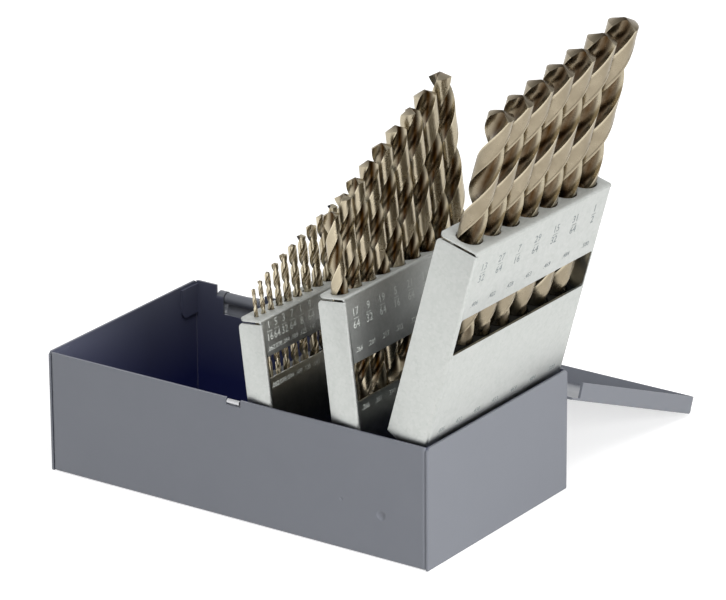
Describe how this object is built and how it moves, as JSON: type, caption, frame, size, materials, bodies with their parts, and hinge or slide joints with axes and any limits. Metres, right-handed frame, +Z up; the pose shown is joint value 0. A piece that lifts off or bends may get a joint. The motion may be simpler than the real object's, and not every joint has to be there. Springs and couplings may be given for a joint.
{
  "type": "drill bit case",
  "caption": "Sheet-steel drill case with a hinged lid and fold-out trays that hold a graded set of twist drills upright.",
  "frame": {"origin": "centre of the case's underside", "axes": "+X along the length towards the end that the large tray leans over, +Y towards the lid hinges, +Z up"},
  "size_m": [0.2249, 0.1999, 0.2088],
  "materials": {
    "case_paint": "satin blue-grey enamel",
    "bracket_paint": "satin blue-grey enamel",
    "tray_zinc": "bright zinc plate",
    "pin_steel": "bright zinc plate",
    "spring_steel": "bare spring steel",
    "drill_steel": "straw-bronze oxide on ground high-speed steel"
  },
  "bodies": {
    "case": {"case_shell": "case_paint", "case_end_left": "case_paint", "case_end_right": "case_paint", "pivot_bracket_front": "bracket_paint", "pivot_bracket_back": "bracket_paint", "catch_spring": "spring_steel", "hinge_pin_left": "pin_steel", "hinge_pin_right": "pin_steel", "pivot_rivet_small_front": "pin_steel", "pivot_rivet_small_back": "pin_steel", "pivot_rivet_medium_front": "pin_steel", "pivot_rivet_medium_back": "pin_steel", "pivot_rivet_large_front": "pin_steel", "pivot_rivet_large_back": "pin_steel"},
    "lid": {"lid": "case_paint"},
    "tray_small": {"tray_small": "tray_zinc", "tray_small_seat": "tray_zinc"},
    "drill_04_64": {"drill_04_64": "drill_steel"},
    "drill_05_64": {"drill_05_64": "drill_steel"},
    "drill_06_64": {"drill_06_64": "drill_steel"},
    "drill_07_64": {"drill_07_64": "drill_steel"},
    "drill_08_64": {"drill_08_64": "drill_steel"},
    "drill_09_64": {"drill_09_64": "drill_steel"},
    "drill_10_64": {"drill_10_64": "drill_steel"},
    "drill_11_64": {"drill_11_64": "drill_steel"},
    "drill_12_64": {"drill_12_64": "drill_steel"},
    "drill_13_64": {"drill_13_64": "drill_steel"},
    "drill_14_64": {"drill_14_64": "drill_steel"},
    "drill_15_64": {"drill_15_64": "drill_steel"},
    "drill_16_64": {"drill_16_64": "drill_steel"},
    "tray_medium": {"tray_medium": "tray_zinc", "tray_medium_seat": "tray_zinc"},
    "drill_17_64": {"drill_17_64": "drill_steel"},
    "drill_18_64": {"drill_18_64": "drill_steel"},
    "drill_19_64": {"drill_19_64": "drill_steel"},
    "drill_20_64": {"drill_20_64": "drill_steel"},
    "drill_21_64": {"drill_21_64": "drill_steel"},
    "drill_22_64": {"drill_22_64": "drill_steel"},
    "drill_23_64": {"drill_23_64": "drill_steel"},
    "drill_24_64": {"drill_24_64": "drill_steel"},
    "drill_25_64": {"drill_25_64": "drill_steel"},
    "tray_large": {"tray_large": "tray_zinc", "tray_large_seat": "tray_zinc"},
    "drill_26_64": {"drill_26_64": "drill_steel"},
    "drill_27_64": {"drill_27_64": "drill_steel"},
    "drill_28_64": {"drill_28_64": "drill_steel"},
    "drill_29_64": {"drill_29_64": "drill_steel"},
    "drill_30_64": {"drill_30_64": "drill_steel"},
    "drill_31_64": {"drill_31_64": "drill_steel"},
    "drill_32_64": {"drill_32_64": "drill_steel"}
  },
  "joints": [
    {"name": "lid_hinge", "type": "hinge", "parent": "case", "child": "lid", "pos_m": [0, 0.05228, 0.046], "axis": [-1, 0, 0], "range_deg": [-112, 0]},
    {"name": "tray_small_pivot", "type": "hinge", "parent": "case", "child": "tray_small", "pos_m": [0.01884, 0, 0.014], "axis": [0, 1, 0], "range_deg": [-83, 0]},
    {"name": "drill_04_64_draw", "type": "slide", "parent": "tray_small", "child": "drill_04_64", "axis": [-0.1219, 0, 0.9925], "range_m": [0, 0.072]},
    {"name": "drill_05_64_draw", "type": "slide", "parent": "tray_small", "child": "drill_05_64", "axis": [-0.1219, 0, 0.9925], "range_m": [0, 0.072]},
    {"name": "drill_06_64_draw", "type": "slide", "parent": "tray_small", "child": "drill_06_64", "axis": [-0.1219, 0, 0.9925], "range_m": [0, 0.072]},
    {"name": "drill_07_64_draw", "type": "slide", "parent": "tray_small", "child": "drill_07_64", "axis": [-0.1219, 0, 0.9925], "range_m": [0, 0.072]},
    {"name": "drill_08_64_draw", "type": "slide", "parent": "tray_small", "child": "drill_08_64", "axis": [-0.1219, 0, 0.9925], "range_m": [0, 0.072]},
    {"name": "drill_09_64_draw", "type": "slide", "parent": "tray_small", "child": "drill_09_64", "axis": [-0.1219, 0, 0.9925], "range_m": [0, 0.072]},
    {"name": "drill_10_64_draw", "type": "slide", "parent": "tray_small", "child": "drill_10_64", "axis": [-0.1219, 0, 0.9925], "range_m": [0, 0.072]},
    {"name": "drill_11_64_draw", "type": "slide", "parent": "tray_small", "child": "drill_11_64", "axis": [-0.1219, 0, 0.9925], "range_m": [0, 0.072]},
    {"name": "drill_12_64_draw", "type": "slide", "parent": "tray_small", "child": "drill_12_64", "axis": [-0.1219, 0, 0.9925], "range_m": [0, 0.072]},
    {"name": "drill_13_64_draw", "type": "slide", "parent": "tray_small", "child": "drill_13_64", "axis": [-0.1219, 0, 0.9925], "range_m": [0, 0.072]},
    {"name": "drill_14_64_draw", "type": "slide", "parent": "tray_small", "child": "drill_14_64", "axis": [-0.1219, 0, 0.9925], "range_m": [0, 0.072]},
    {"name": "drill_15_64_draw", "type": "slide", "parent": "tray_small", "child": "drill_15_64", "axis": [-0.1219, 0, 0.9925], "range_m": [0, 0.072]},
    {"name": "drill_16_64_draw", "type": "slide", "parent": "tray_small", "child": "drill_16_64", "axis": [-0.1219, 0, 0.9925], "range_m": [0, 0.072]},
    {"name": "tray_medium_pivot", "type": "hinge", "parent": "case", "child": "tray_medium", "pos_m": [0.05949, 0, 0.0275], "axis": [0, 1, 0], "range_deg": [-83, 0]},
    {"name": "drill_17_64_draw", "type": "slide", "parent": "tray_medium", "child": "drill_17_64", "axis": [-0.1219, 0, 0.9925], "range_m": [0, 0.076]},
    {"name": "drill_18_64_draw", "type": "slide", "parent": "tray_medium", "child": "drill_18_64", "axis": [-0.1219, 0, 0.9925], "range_m": [0, 0.076]},
    {"name": "drill_19_64_draw", "type": "slide", "parent": "tray_medium", "child": "drill_19_64", "axis": [-0.1219, 0, 0.9925], "range_m": [0, 0.076]},
    {"name": "drill_20_64_draw", "type": "slide", "parent": "tray_medium", "child": "drill_20_64", "axis": [-0.1219, 0, 0.9925], "range_m": [0, 0.076]},
    {"name": "drill_21_64_draw", "type": "slide", "parent": "tray_medium", "child": "drill_21_64", "axis": [-0.1219, 0, 0.9925], "range_m": [0, 0.076]},
    {"name": "drill_22_64_draw", "type": "slide", "parent": "tray_medium", "child": "drill_22_64", "axis": [-0.1219, 0, 0.9925], "range_m": [0, 0.076]},
    {"name": "drill_23_64_draw", "type": "slide", "parent": "tray_medium", "child": "drill_23_64", "axis": [-0.1219, 0, 0.9925], "range_m": [0, 0.076]},
    {"name": "drill_24_64_draw", "type": "slide", "parent": "tray_medium", "child": "drill_24_64", "axis": [-0.1219, 0, 0.9925], "range_m": [0, 0.076]},
    {"name": "drill_25_64_draw", "type": "slide", "parent": "tray_medium", "child": "drill_25_64", "axis": [-0.1219, 0, 0.9925], "range_m": [0, 0.076]},
    {"name": "tray_large_pivot", "type": "hinge", "parent": "case", "child": "tray_large", "pos_m": [0.08716, 0, 0.0468], "axis": [0, 1, 0], "range_deg": [-105.5, 0]},
    {"name": "drill_26_64_draw", "type": "slide", "parent": "tray_large", "child": "drill_26_64", "axis": [0.2672, 0, 0.9636], "range_m": [0, 0.086]},
    {"name": "drill_27_64_draw", "type": "slide", "parent": "tray_large", "child": "drill_27_64", "axis": [0.2672, 0, 0.9636], "range_m": [0, 0.086]},
    {"name": "drill_28_64_draw", "type": "slide", "parent": "tray_large", "child": "drill_28_64", "axis": [0.2672, 0, 0.9636], "range_m": [0, 0.086]},
    {"name": "drill_29_64_draw", "type": "slide", "parent": "tray_large", "child": "drill_29_64", "axis": [0.2672, 0, 0.9636], "range_m": [0, 0.086]},
    {"name": "drill_30_64_draw", "type": "slide", "parent": "tray_large", "child": "drill_30_64", "axis": [0.2672, 0, 0.9636], "range_m": [0, 0.086]},
    {"name": "drill_31_64_draw", "type": "slide", "parent": "tray_large", "child": "drill_31_64", "axis": [0.2672, 0, 0.9636], "range_m": [0, 0.086]},
    {"name": "drill_32_64_draw", "type": "slide", "parent": "tray_large", "child": "drill_32_64", "axis": [0.2672, 0, 0.9636], "range_m": [0, 0.086]}
  ],
  "couplings": [
    {"joint": "tray_small_pivot", "follows": "tray_large_pivot", "ratio": 0.7867},
    {"joint": "tray_medium_pivot", "follows": "tray_large_pivot", "ratio": 0.7867}
  ]
}
